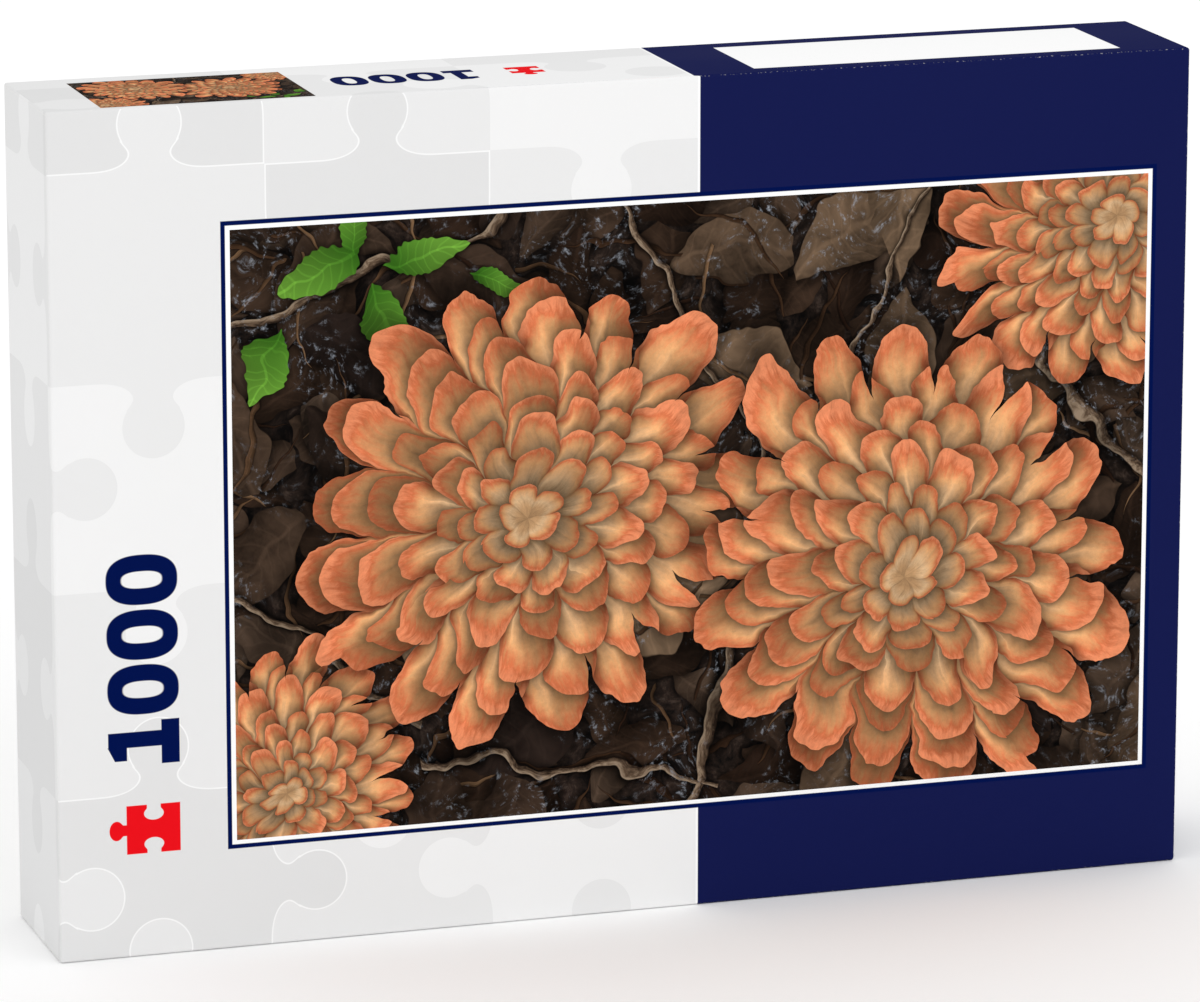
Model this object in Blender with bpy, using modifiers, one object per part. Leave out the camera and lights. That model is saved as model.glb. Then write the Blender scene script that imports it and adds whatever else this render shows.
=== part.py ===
"""Boxed jigsaw puzzle: a rigid box with a lift-off lid, standing on one of its long sides.

The lid and the tray are each a folded board blank with a sheet of paper glued over it, and the tray
holds a bag of loose jigsaw pieces. Lengths are in metres. +X runs along the box, -Y is the side of
the lid's printed face, +Y the side of the tray's bottom, and +Z is up. The origin is the middle of
the long side that the box stands on.
"""

import bmesh
import bpy
from mathutils import Matrix, Vector

# The closed box
BOX_LENGTH = 0.375
BOX_HEIGHT = 0.270
BOX_DEPTH = 0.056

# Sheet materials and the gaps that stand for glue
BOARD = 0.0015
PAPER = 0.0004
STAY = 0.0003
GAP = 0.0003

# How the two halves of the box go together
TRAY_SHOWS = 0.0015
SIDE_PLAY = 0.0006
TURN_IN = 0.015
CORNER_RADIUS = 0.0008
ROUND_STEPS = 3

# The board's cut edges are very slightly crushed
BOARD_RADIUS = 0.0002

# The paper tape over the corners of a board
STAY_LEG = 0.018

# The bag of loose pieces, slumped to the bottom of the standing box
BAG_SIDE_ROOM = 0.006
BAG_HEIGHT = 0.104
BAG_CUTS = 7
BAG_END_DROP = 0.022
BAG_SAG_SHARE = 0.72

# Places worked out from the sizes above. A wall is the stack of a box's side, from outside to inside.
FRONT = -BOX_DEPTH / 2
BACK = BOX_DEPTH / 2
COVER_TO_BOARD = PAPER + GAP + STAY + GAP
WALL = COVER_TO_BOARD + BOARD + GAP + PAPER
FACE_TO_BOARD = PAPER + GAP
LID_RIM = BACK - TRAY_SHOWS
TRAY_LENGTH = BOX_LENGTH - 2 * (WALL + SIDE_PLAY)
TRAY_HEIGHT = BOX_HEIGHT - 2 * (WALL + SIDE_PLAY)
TRAY_RIM = FRONT + FACE_TO_BOARD + BOARD + GAP
TRAY_LOW = WALL + GAP
LID_MIDDLE = BOX_HEIGHT / 2
TRAY_MIDDLE = TRAY_LOW + TRAY_HEIGHT / 2


def clear_scene():
    for old in list(bpy.data.objects):
        bpy.data.objects.remove(old, do_unlink=True)


def make_collection(name):
    found = bpy.data.collections.new(name)
    bpy.context.scene.collection.children.link(found)
    return found


def make_material(name, colour, roughness, metallic=0.0):
    made = bpy.data.materials.new(name)
    made.use_nodes = True
    shader = made.node_tree.nodes["Principled BSDF"]
    shader.inputs["Base Color"].default_value = (*colour, 1.0)
    shader.inputs["Roughness"].default_value = roughness
    shader.inputs["Metallic"].default_value = metallic
    return made


def make_object(name, shape, collection, material, parent):
    mesh = bpy.data.meshes.new(name)
    shape.to_mesh(mesh)
    shape.free()
    mesh.materials.append(material)
    made = bpy.data.objects.new(name, mesh)
    collection.objects.link(made)
    made.parent = parent
    return made


def round_edges(made, radius, steps):
    bevel = made.modifiers.new("rounded folds", "BEVEL")
    bevel.width = radius
    bevel.segments = steps
    bevel.limit_method = "ANGLE"


def give_thickness(made, thickness):
    """The open surface is the outer side of the sheet, and its thickness goes inwards."""
    sheet = made.modifiers.new("sheet", "SOLIDIFY")
    sheet.thickness = thickness
    sheet.offset = -1.0
    sheet.use_even_offset = True


def open_box(length, height, closed_y, rim_y, middle_z):
    """The outer surface of a box that is open at rim_y, and the edges round its mouth."""
    shape = bmesh.new()
    size = Matrix.Diagonal((length, abs(rim_y - closed_y), height, 1.0))
    place = Matrix.Translation((0.0, (rim_y + closed_y) / 2, middle_z))
    bmesh.ops.create_cube(shape, size=1.0, matrix=place @ size)
    way_out = 1.0 if rim_y > closed_y else -1.0
    mouth = [face for face in shape.faces if face.normal.y * way_out > 0.9]
    bmesh.ops.delete(shape, geom=mouth, context="FACES_ONLY")
    rim = [edge for edge in shape.edges if edge.is_boundary]
    return shape, rim


def extrude_rim(shape, rim, middle_z, inwards, along):
    """Pulls a new band of faces from the rim, inwards in X and Z and along Y, and returns its edges."""
    pulled = bmesh.ops.extrude_edge_only(shape, edges=rim)["geom"]
    for corner in (part for part in pulled if isinstance(part, bmesh.types.BMVert)):
        corner.co.x -= inwards if corner.co.x > 0 else -inwards
        corner.co.z -= inwards if corner.co.z > middle_z else -inwards
        corner.co.y += along
    return [part for part in pulled if isinstance(part, bmesh.types.BMEdge) and part.is_boundary]


def make_panel(name, ends_x, ends_y, ends_z, collection, material, parent):
    """One flat panel of board, given by the two ends that it runs between in X, Y and Z."""
    low = Vector((min(ends_x), min(ends_y), min(ends_z)))
    high = Vector((max(ends_x), max(ends_y), max(ends_z)))
    shape = bmesh.new()
    size = Matrix.Diagonal((*(high - low), 1.0))
    bmesh.ops.create_cube(shape, size=1.0, matrix=Matrix.Translation((low + high) / 2) @ size)
    made = make_object(name, shape, collection, material, parent)
    round_edges(made, BOARD_RADIUS, 1)
    return made


def make_board(stem, length, height, closed_y, rim_y, middle_z, collection, material, parent):
    """A board blank, cut half through along its four scores and folded up there into five panels. The
    sides stand on the main panel: the long ones run from end to end, and the short ones fit between."""
    way_up = 1.0 if rim_y > closed_y else -1.0
    main_y = (closed_y, closed_y + way_up * BOARD)
    side_y = (main_y[1] + way_up * GAP, rim_y)
    across = (-length / 2, length / 2)
    lower, upper = middle_z - height / 2, middle_z + height / 2
    between = (lower + BOARD + GAP, upper - BOARD - GAP)
    panels = {
        "main": (across, main_y, (lower, upper)),
        "lower_side": (across, side_y, (lower, lower + BOARD)),
        "upper_side": (across, side_y, (upper - BOARD, upper)),
        "left_side": ((across[0], across[0] + BOARD), side_y, between),
        "right_side": ((across[1] - BOARD, across[1]), side_y, between),
    }
    for panel, ends in panels.items():
        make_panel(f"{stem}_{panel}", *ends, collection, material, parent)


def make_wrap(name, length, height, closed_y, rim_y, middle_z, collection, material, parent):
    """A sheet of paper over a folded board: face, sides, over the rim and a turn-in inside it."""
    shape, rim = open_box(length, height, closed_y, rim_y, middle_z)
    inner_rim = extrude_rim(shape, rim, middle_z, WALL, 0.0)
    way_in = -1.0 if rim_y > closed_y else 1.0
    extrude_rim(shape, inner_rim, middle_z, 0.0, way_in * TURN_IN)
    made = make_object(name, shape, collection, material, parent)
    round_edges(made, CORNER_RADIUS, ROUND_STEPS)
    give_thickness(made, PAPER)
    return made


def make_corner_stay(name, corner, inwards, low_y, high_y, collection, material, parent):
    """A strip of tape folded round one corner of a board. corner is its outer fold in X and Z, and
    inwards holds the signs of the two ways that its legs run."""
    shape = bmesh.new()
    way_x, way_z = inwards
    run = high_y - low_y
    middle = Vector((corner[0] + way_x * STAY_LEG / 2, (low_y + high_y) / 2, corner[1]))
    size = Matrix.Diagonal((STAY_LEG, run, 1.0, 1.0))
    bmesh.ops.create_grid(
        shape, x_segments=1, y_segments=1, size=0.5, matrix=Matrix.Translation(middle) @ size
    )
    fold = [edge for edge in shape.edges if all(abs(v.co.x - corner[0]) < GAP for v in edge.verts)]
    pulled = bmesh.ops.extrude_edge_only(shape, edges=fold)["geom"]
    for tip in (part for part in pulled if isinstance(part, bmesh.types.BMVert)):
        tip.co.z += way_z * STAY_LEG
    inside = Vector((corner[0] + way_x * STAY_LEG, 0.0, corner[1] + way_z * STAY_LEG))
    shape.normal_update()
    for face in shape.faces:
        to_inside = inside - face.calc_center_median()
        to_inside.y = 0.0
        if face.normal.dot(to_inside) > 0:
            face.normal_flip()
    made = make_object(name, shape, collection, material, parent)
    give_thickness(made, STAY)
    return made


def make_corner_stays(stem, length, height, middle_z, low_y, high_y, collection, material, parent):
    """Four stays, which lie between a board and its wrap. length and height are those of the wrap."""
    out = PAPER + GAP
    number = 0
    for way_z in (1.0, -1.0):
        for way_x in (1.0, -1.0):
            number += 1
            corner = (-way_x * (length / 2 - out), middle_z - way_z * (height / 2 - out))
            make_corner_stay(
                f"{stem}_corner_stay_{number}",
                corner,
                (way_x, way_z),
                low_y,
                high_y,
                collection,
                material,
                parent,
            )


def make_bag(collection, material, parent):
    """The filled bag: flat where it rests, crowned on top and lower towards its two ends."""
    inner_length = TRAY_LENGTH - 2 * WALL
    room_front = TRAY_RIM + GAP
    room_back = BACK - FACE_TO_BOARD - BOARD - GAP
    floor_z = TRAY_LOW + WALL + GAP
    length = inner_length - 2 * BAG_SIDE_ROOM
    depth = room_back - room_front - 2 * GAP
    place = Matrix.Translation((0.0, (room_front + room_back) / 2, floor_z + BAG_HEIGHT / 2))
    size = Matrix.Diagonal((length, depth, BAG_HEIGHT, 1.0))
    shape = bmesh.new()
    bmesh.ops.create_cube(shape, size=1.0, matrix=place @ size)
    bmesh.ops.subdivide_edges(shape, edges=shape.edges[:], cuts=BAG_CUTS, use_grid_fill=True)
    for point in shape.verts:
        along = point.co.x / (length / 2)
        up = (point.co.z - floor_z) / BAG_HEIGHT
        point.co.z -= up * BAG_END_DROP * abs(along) ** 2
        squeeze = 1.0 - (1.0 - BAG_SAG_SHARE) * up**2 * abs(along) ** 3
        point.co.y = place.translation.y + (point.co.y - place.translation.y) * squeeze
    made = make_object("piece_bag", shape, collection, material, parent)
    soft = made.modifiers.new("soft corners", "SUBSURF")
    soft.levels = 1
    soft.render_levels = 1
    return made


def build():
    clear_scene()
    parts = make_collection("boxed_jigsaw_puzzle")
    printed = make_material("printed wrap", (0.80, 0.80, 0.81), 0.35)
    plain = make_material("plain white wrap", (0.82, 0.81, 0.79), 0.6)
    board = make_material("greyboard", (0.42, 0.38, 0.33), 0.9)
    tape = make_material("corner tape", (0.55, 0.42, 0.28), 0.7)
    film = make_material("clear bag film", (0.75, 0.78, 0.80), 0.25)

    box = bpy.data.objects.new("box", None)
    parts.objects.link(box)

    lid_board_rim = LID_RIM - FACE_TO_BOARD
    lid_board_face = FRONT + FACE_TO_BOARD
    make_wrap("lid_wrap", BOX_LENGTH, BOX_HEIGHT, FRONT, LID_RIM, LID_MIDDLE, parts, printed, box)
    make_board(
        "lid_board",
        BOX_LENGTH - 2 * COVER_TO_BOARD,
        BOX_HEIGHT - 2 * COVER_TO_BOARD,
        lid_board_face,
        lid_board_rim,
        LID_MIDDLE,
        parts,
        board,
        box,
    )
    make_corner_stays(
        "lid", BOX_LENGTH, BOX_HEIGHT, LID_MIDDLE, lid_board_face, lid_board_rim, parts, tape, box
    )

    tray_board_rim = TRAY_RIM + FACE_TO_BOARD
    tray_board_face = BACK - FACE_TO_BOARD
    make_wrap("tray_wrap", TRAY_LENGTH, TRAY_HEIGHT, BACK, TRAY_RIM, TRAY_MIDDLE, parts, plain, box)
    make_board(
        "tray_board",
        TRAY_LENGTH - 2 * COVER_TO_BOARD,
        TRAY_HEIGHT - 2 * COVER_TO_BOARD,
        tray_board_face,
        tray_board_rim,
        TRAY_MIDDLE,
        parts,
        board,
        box,
    )
    make_corner_stays(
        "tray", TRAY_LENGTH, TRAY_HEIGHT, TRAY_MIDDLE, tray_board_rim, tray_board_face, parts, tape, box
    )
    make_bag(parts, film, box)


build()
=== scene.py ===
import math
import random

import bmesh
import bpy
from mathutils import Matrix, Vector, noise


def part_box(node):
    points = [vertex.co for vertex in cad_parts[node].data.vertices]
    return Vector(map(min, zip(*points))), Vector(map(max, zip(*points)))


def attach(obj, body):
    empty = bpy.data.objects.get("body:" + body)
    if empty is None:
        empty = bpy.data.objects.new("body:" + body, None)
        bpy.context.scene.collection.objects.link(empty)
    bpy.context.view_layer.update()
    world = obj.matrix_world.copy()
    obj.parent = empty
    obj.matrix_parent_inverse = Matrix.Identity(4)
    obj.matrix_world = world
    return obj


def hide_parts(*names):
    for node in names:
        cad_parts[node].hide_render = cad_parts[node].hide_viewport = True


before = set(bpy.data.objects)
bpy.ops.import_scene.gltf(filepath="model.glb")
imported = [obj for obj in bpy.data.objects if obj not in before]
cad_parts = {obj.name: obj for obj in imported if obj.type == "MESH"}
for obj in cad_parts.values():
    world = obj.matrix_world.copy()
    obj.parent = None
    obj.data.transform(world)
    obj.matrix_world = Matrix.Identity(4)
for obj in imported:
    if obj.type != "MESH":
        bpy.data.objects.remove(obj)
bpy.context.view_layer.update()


# The lid's wrap: one sheet of coated paper, printed, cut as a cross and glued over the folded board. It
# covers the face and the four sides, goes round the rim and is turned in behind it. Its folds are
# rounded, and at the corners the short sides' flaps end in a cut edge over tabs of the long ones.
FOLD_RADIUS = 0.0009
FOLD_STEPS = 5
PAPER = 0.0004
WALL = 0.0035
TURN_IN = 0.015
TINY = 0.00005
SMOOTH_UNDER = math.radians(35)
PRINT_SLOT, PICTURE_SLOT, BACK_SLOT = range(3)

lid_low, lid_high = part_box("lid_wrap")


def new_block(name, low, high):
    """A cube primitive that runs between two corners."""
    bpy.ops.object.select_all(action="DESELECT")
    bpy.ops.mesh.primitive_cube_add(size=1.0, location=(Vector(low) + Vector(high)) / 2)
    block = bpy.context.object
    block.name = block.data.name = name
    block.scale = Vector(high) - Vector(low)
    bpy.ops.object.transform_apply(location=True, rotation=True, scale=True)
    return block


def choose(kind, wanted):
    """In edit mode, selects the faces or the edges that are wanted, and nothing else."""
    bpy.ops.mesh.select_mode(type=kind)
    bpy.ops.mesh.select_all(action="DESELECT")
    mesh = bpy.context.edit_object.data
    shape = bmesh.from_edit_mesh(mesh)
    for part in shape.faces if kind == "FACE" else shape.edges:
        part.select_set(wanted(part))
    bmesh.update_edit_mesh(mesh)


def apply_modifier(piece, kind, **settings):
    """Adds a modifier with its settings and applies it."""
    made = piece.modifiers.new(kind.lower(), kind)
    for name, value in settings.items():
        setattr(made, name, value)
    bpy.ops.object.modifier_apply(modifier=made.name)


def fold_sheet(name, low, high, face_y, rim_y):
    """A sheet glued over a box that is open at rim_y: face, sides, a band over the rim and a turn-in."""
    sheet = new_block(name, low, high)
    size = high - low
    inner = ((size.x - 2 * WALL) / size.x, 1.0, (size.z - 2 * WALL) / size.z)
    inwards = math.copysign(TURN_IN, face_y - rim_y)
    bpy.ops.object.mode_set(mode="EDIT")
    choose("FACE", lambda face: abs(face.calc_center_median().y - rim_y) < TINY)
    bpy.ops.mesh.delete(type="ONLY_FACE")
    choose("EDGE", lambda edge: edge.is_boundary)
    bpy.ops.mesh.extrude_region()
    bpy.ops.transform.resize(value=inner, center_override=(0.0, rim_y, (low.z + high.z) / 2))
    bpy.ops.mesh.extrude_region()
    bpy.ops.transform.translate(value=(0.0, inwards, 0.0))
    bpy.ops.object.mode_set(mode="OBJECT")
    return sheet


def round_folds(sheet):
    apply_modifier(sheet, "BEVEL", width=FOLD_RADIUS, segments=FOLD_STEPS, limit_method="ANGLE")


def insets(x, z, low, high):
    """How far a place is inside each edge of the box's face, or outside it if less than 0."""
    return {"left": x - low.x, "right": high.x - x, "lower": z - low.z, "upper": high.z - z}


def lay_flat(sheet, low, high, face_y, rim_y):
    """Gives every face corner its place on the flat sheet, in metres: X and Z on the box's face, and beyond
    its edges on the four flaps. Each flap runs down its side, over the rim and along the turn-in. A facet
    halfway round a corner is on the left or the right flap."""
    mesh = sheet.data
    flat = mesh.uv_layers.new(name="sheet")
    depth = abs(rim_y - face_y)
    for face in mesh.polygons:
        centre = face.center
        gaps = insets(centre.x, centre.z, low, high)
        flap = min(gaps, key=lambda edge: gaps[edge] + TINY * (edge in ("lower", "upper")))
        down = abs(centre.y - face_y)
        on_face = down < TINY and abs(face.normal.y) > 0.99
        turned_in = gaps[flap] > 0.75 * WALL and down < depth - 0.3 * FOLD_RADIUS
        for corner in face.loop_indices:
            x, y, z = mesh.vertices[mesh.loops[corner].vertex_index].co
            if not on_face:
                run = abs(y - face_y)
                if turned_in:
                    run = depth + WALL + (depth - run)
                else:
                    run += math.copysign(insets(x, z, low, high)[flap], run - depth / 2)
                x = {"left": low.x - run, "right": high.x + run}.get(flap, x)
                z = {"lower": low.z - run, "upper": high.z + run}.get(flap, z)
            flat.data[corner].uv = (x, z)


lid_wrap = fold_sheet("lid_wrap_printed", lid_low, lid_high, lid_low.y, lid_high.y)

# The two pictures' outlines on the lid: left, low, right and high, in metres on the flat sheet. The small
# one is on the upper side, so it lies past the face's upper edge.
PICTURE = (lid_low.x + 0.0575, lid_high.z - 0.2349, lid_low.x + 0.3614, lid_high.z - 0.0399)
SMALL_PICTURE = (lid_low.x + 0.0180, lid_high.z + 0.0020, lid_low.x + 0.0860, lid_high.z + 0.0464)


def past_plane(wanted, point, normal):
    """Which of the wanted faces lie on a plane's positive side."""
    return lambda face: wanted(face) and (face.calc_center_median() - point).dot(normal) > 0


def cut_out(wanted, cuts):
    """Cuts the wanted faces of the lid's wrap along planes, each a point and a normal, one after the other.
    What lies on a plane's positive side is cut by the next one, and what is left becomes a picture."""
    bpy.ops.object.mode_set(mode="EDIT")
    for point, normal in cuts:
        choose("FACE", wanted)
        bpy.ops.mesh.bisect(plane_co=point, plane_no=normal)
        wanted = past_plane(wanted, Vector(point), Vector(normal))
    choose("FACE", wanted)
    lid_wrap.active_material_index = PICTURE_SLOT
    bpy.ops.object.material_slot_assign()
    bpy.ops.object.mode_set(mode="OBJECT")


for slot in (PRINT_SLOT, PICTURE_SLOT, BACK_SLOT):
    lid_wrap.data.materials.append(None)
cut_out(
    lambda face: face.normal.y < -0.9 and abs(face.calc_center_median().y - lid_low.y) < TINY,
    (
        ((PICTURE[0], 0, 0), (1, 0, 0)),
        ((PICTURE[2], 0, 0), (-1, 0, 0)),
        ((0, 0, PICTURE[1]), (0, 0, 1)),
        ((0, 0, PICTURE[3]), (0, 0, -1)),
    ),
)
cut_out(
    lambda face: face.normal.z > 0.9 and abs(face.calc_center_median().z - lid_high.z) < TINY,
    (
        ((SMALL_PICTURE[0], 0, 0), (1, 0, 0)),
        ((SMALL_PICTURE[2], 0, 0), (-1, 0, 0)),
        ((0, lid_low.y + SMALL_PICTURE[1] - lid_high.z, 0), (0, 1, 0)),
        ((0, lid_low.y + SMALL_PICTURE[3] - lid_high.z, 0), (0, -1, 0)),
    ),
)
round_folds(lid_wrap)
lay_flat(lid_wrap, lid_low, lid_high, lid_low.y, lid_high.y)

# Where each picture's faces lie in the picture itself, in tenths of a metre at the large one's size. The
# small one is the same picture, turned upside down.
picture_place = lid_wrap.data.uv_layers.new(name="picture")
flat_place = lid_wrap.data.uv_layers["sheet"]
for face in lid_wrap.data.polygons:
    for corner in face.loop_indices:
        x, z = flat_place.data[corner].uv
        if face.center.y < lid_low.y + TINY:
            place = (x - PICTURE[0]) * 10, (z - PICTURE[1]) * 10
        else:
            scale = 10 * (PICTURE[2] - PICTURE[0]) / (SMALL_PICTURE[2] - SMALL_PICTURE[0])
            place = (SMALL_PICTURE[2] - x) * scale, (SMALL_PICTURE[3] - z) * scale
        picture_place.data[corner].uv = place

apply_modifier(
    lid_wrap,
    "SOLIDIFY",
    thickness=PAPER,
    offset=-1.0,
    use_even_offset=True,
    material_offset=BACK_SLOT,
    material_offset_rim=BACK_SLOT,
)
bpy.ops.object.shade_smooth_by_angle(angle=SMOOTH_UNDER)

# Where each part of the sheet lies on the map that its look is baked to, in pixels: its left and low
# corner, and the pixels for a metre along the part and for a metre out from the face. What the closed box
# hides is small. The sheet's thickness at a cut end is drawn out to CUT_EDGE, in metres.
MAP_SIZE = 1024
MAP_PLACES = {
    "face": (4, 4, 2300, 2300),
    "upper": (4, 633, 2300, 2300),
    "lower": (4, 772, 2300, 1500),
    "left": (874, 4, 2300, 1250),
    "right": (952, 4, 2300, 1150),
    "upper turn-in": (4, 863, 2300, 600),
    "lower turn-in": (4, 880, 2300, 600),
    "left turn-in": (4, 897, 2300, 600),
    "right turn-in": (4, 914, 2300, 600),
    "face's back": (872, 633, 550, 550),
    "upper's back": (4, 931, 2300, 270),
    "lower's back": (4, 953, 2300, 270),
    "left's back": (4, 975, 2300, 270),
    "right's back": (4, 997, 2300, 270),
}
UPRIGHT_PARTS = ("left", "right", "face's back")
CUT_EDGE = 0.006


def lay_for_baking(sheet, low, high, flap_end):
    """Gives every face corner its place on the map, from its place on the flat sheet."""
    mesh = sheet.data
    flat = mesh.uv_layers["sheet"]
    baked = mesh.uv_layers.new(name="OFBake")
    for face in mesh.polygons:
        spots = [Vector(flat.data[corner].uv) for corner in face.loop_indices]
        middle = sum(spots, Vector((0.0, 0.0))) / len(spots)
        gaps = insets(*middle, low, high)
        part = min(gaps, key=gaps.get)
        far = -gaps[part]
        flap = part if far > 0 else "face"
        at_end = far > flap_end + TURN_IN - TINY
        if face.material_index == BACK_SLOT and not at_end:
            name = flap + "'s back"
        else:
            name = flap + " turn-in" if far > flap_end else flap
        begins = flap_end if name.endswith("turn-in") else 0.0
        left, bottom, pixels_along, pixels_out = MAP_PLACES[name]
        for corner, spot in zip(face.loop_indices, spots):
            along = spot.y - low.z if flap in ("left", "right") else spot.x - low.x
            outwards = spot.y - low.z if flap == "face" else -insets(*spot, low, high)[part] - begins
            if at_end:
                x, _, z = mesh.vertices[mesh.loops[corner].vertex_index].co
                inset = min(insets(x, z, low, high).values())
                outwards += CUT_EDGE * (WALL - inset) / PAPER
            place = along * pixels_along, outwards * pixels_out
            if name in UPRIGHT_PARTS:
                place = place[1], place[0]
            baked.data[corner].uv = ((left + place[0]) / MAP_SIZE, (bottom + place[1]) / MAP_SIZE)


lay_for_baking(lid_wrap, lid_low, lid_high, lid_high.y - lid_low.y + WALL)


class Socket:
    """A socket of a material's node tree. Python's operators on it add the Math nodes of an expression."""

    def __init__(self, tree, output=None):
        self.tree = tree
        self.output = output

    def node(self, kind, settings=None, sockets=None, out=0):
        """Adds a node: its settings first, then the values or links of its sockets. Gives one output, or a
        list of them."""
        made = self.tree.nodes.new(kind)
        for name, value in (settings or {}).items():
            if name == "stops":
                ramp = made.color_ramp
                for place, colour in value[2:]:
                    ramp.elements.new(place)
                for element, (place, colour) in zip(ramp.elements, value):
                    element.position = place
                    element.color = colour
            elif name == "interpolation":
                made.color_ramp.interpolation = value
            else:
                setattr(made, name, value)
        for name, value in (sockets or {}).items():
            if isinstance(value, Socket):
                self.tree.links.new(value.output, made.inputs[name])
            else:
                made.inputs[name].default_value = value
        if isinstance(out, tuple):
            return [Socket(self.tree, made.outputs[name]) for name in out]
        return Socket(self.tree, made.outputs[out])

    def math(self, operation, *others):
        return self.node("ShaderNodeMath", {"operation": operation}, dict(enumerate((self, *others))))

    def __add__(self, other):
        return self.math("ADD", other)

    def __sub__(self, other):
        return self.math("SUBTRACT", other)

    def __mul__(self, other):
        return self.math("MULTIPLY", other)

    def __truediv__(self, other):
        return self.math("DIVIDE", other)

    def __pow__(self, other):
        return self.math("POWER", other)

    def __lt__(self, other):
        return self.math("LESS_THAN", other)

    def __gt__(self, other):
        return self.math("GREATER_THAN", other)

    def __abs__(self):
        return self.math("ABSOLUTE")

    def __neg__(self):
        return self.math("MULTIPLY", -1.0)

    __radd__ = __add__
    __rmul__ = __mul__

    def __rsub__(self, other):
        return self.node("ShaderNodeMath", {"operation": "SUBTRACT"}, {0: other, 1: self})


def low_of(one, other):
    return one.math("MINIMUM", other)


def high_of(one, other):
    return one.math("MAXIMUM", other)


def between(value, start, end):
    """A smooth step: 0 where the value is at or before start, 1 where it is at or past end."""
    return value.node(
        "ShaderNodeMapRange",
        {"interpolation_type": "SMOOTHSTEP"},
        {"Value": value, "From Min": start, "From Max": end},
    )


def length_of(one, other):
    return (one * one + other * other).math("SQRT")


def painted(mask, under, over):
    """The over colour where the mask is 1, on the under colour where it is 0."""
    return mask.node("ShaderNodeMix", {"data_type": "RGBA"}, {0: mask, 6: under, 7: over}, out=2)


def graded(value, *stops, interpolation="LINEAR"):
    """A colour ramp: each stop is a place and a colour."""
    stops = [(place, (*colour, 1.0)) for place, colour in stops]
    return value.node(
        "ShaderNodeValToRGB", {"interpolation": interpolation, "stops": stops}, {0: value}, out="Color"
    )


def looked_up(index, numbers):
    """The number at a whole index in a short list."""
    stops = [(place / len(numbers), (0.0, 0.0, 0.0, number)) for place, number in enumerate(numbers)]
    return index.node(
        "ShaderNodeValToRGB",
        {"interpolation": "CONSTANT", "stops": stops},
        {0: (index + 0.5) / len(numbers)},
        out="Alpha",
    )


def new_material(name):
    """A material with only a Principled shader, and a socket to start its nodes from."""
    material = bpy.data.materials.new(name)
    material.use_nodes = True
    return material, material.node_tree.nodes["Principled BSDF"], Socket(material.node_tree)


def grain(place, scale, detail, roughness, settings=None, out=0):
    """A noise over a place, about 0.5 on average."""
    return place.node(
        "ShaderNodeTexNoise",
        settings or {},
        {"Vector": place, "Scale": scale, "Detail": detail, "Roughness": roughness},
        out,
    )


def feed(shader, name, value):
    shader.id_data.links.new(value.output, shader.inputs[name])


def feed_bump(shader, height, strength, distance):
    bump = height.node(
        "ShaderNodeBump", {}, {"Strength": strength, "Distance": distance, "Height": height}, out="Normal"
    )
    feed(shader, "Normal", bump)


# The print on the lid, apart from its pictures: interlocking jigsaw pieces tone on tone on the left, a navy
# panel on the right, a navy and white frame, the number of pieces beside a plain jigsaw piece, and a bare
# white panel on the upper side. It is ink on coated paper, under a thin satin varnish.
printed, shader, start = new_material("printed_lid_paper")
place = start.node("ShaderNodeUVMap", {"uv_map": "sheet"})

# Places are in millimetres from the upper left corner of the lid's face, to the right and down. They run on
# over the sides.
FACE_WIDE = round(1000 * (lid_high.x - lid_low.x))
FACE_HIGH = round(1000 * (lid_high.z - lid_low.z))
across, up = place.node("ShaderNodeSeparateXYZ", {}, {0: place}, out=(0, 1))
x = across * 1000 + FACE_WIDE / 2
y = FACE_HIGH - up * 1000

COLUMN = 72.5
ROW = 65.8
COLUMN_START = -3.7
ROW_START = -46.0
# 1 where the knob on a boundary between two pieces points right or down, 0 where it points left or up. Rows
# go from the upper side's back edge down, and columns from the left side to the right.
KNOB_RIGHT = (
    (0, 1, 0, 1),
    (1, 0, 0, 0),
    (0, 1, 0, 1),
    (1, 1, 0, 1),
    (0, 1, 1, 0),
    (1, 1, 0, 1),
    (0, 0, 1, 1),
)
KNOB_DOWN = (
    (1, 1, 1, 1),
    (0, 0, 0, 1),
    (1, 1, 0, 0),
    (0, 1, 1, 0),
    (1, 0, 1, 1),
    (0, 0, 1, 0),
)
DARK, MIDDLE, PALE = 0.695, 0.745, 0.805
TONES = (
    (MIDDLE, MIDDLE, PALE, MIDDLE),
    (MIDDLE, DARK, MIDDLE, PALE),
    (PALE, MIDDLE, DARK, MIDDLE),
    (MIDDLE, PALE, MIDDLE, DARK),
    (DARK, MIDDLE, PALE, MIDDLE),
    (MIDDLE, DARK, MIDDLE, PALE),
    (PALE, MIDDLE, DARK, MIDDLE),
)


def listed(rows):
    return [number for row in rows for number in row]


# A knob's neck and its round end, and how softly the neck joins the piece and the end joins the neck
NECK_HALF, NECK_MIDDLE, NECK_FLARE, NECK_END = 6, 5, 0.13, 8.5
BULB_MIDDLE, BULB_RADIUS = 14.6, 9.9
NECK_SOFT, BULB_SOFT = 11.0, 2.0


def outside_knob(out, side):
    """How far outside a jigsaw piece a point is. Out runs along one of its knobs, and side across it."""
    neck = abs(side) - (NECK_HALF + NECK_FLARE * (out - NECK_MIDDLE) * (out - NECK_MIDDLE))
    neck = high_of(neck, out - NECK_END)
    body = out.math("SMOOTH_MIN", neck, NECK_SOFT)
    bulb = length_of(out - BULB_MIDDLE, side) - BULB_RADIUS
    return body.math("SMOOTH_MIN", bulb, BULB_SOFT)


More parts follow.
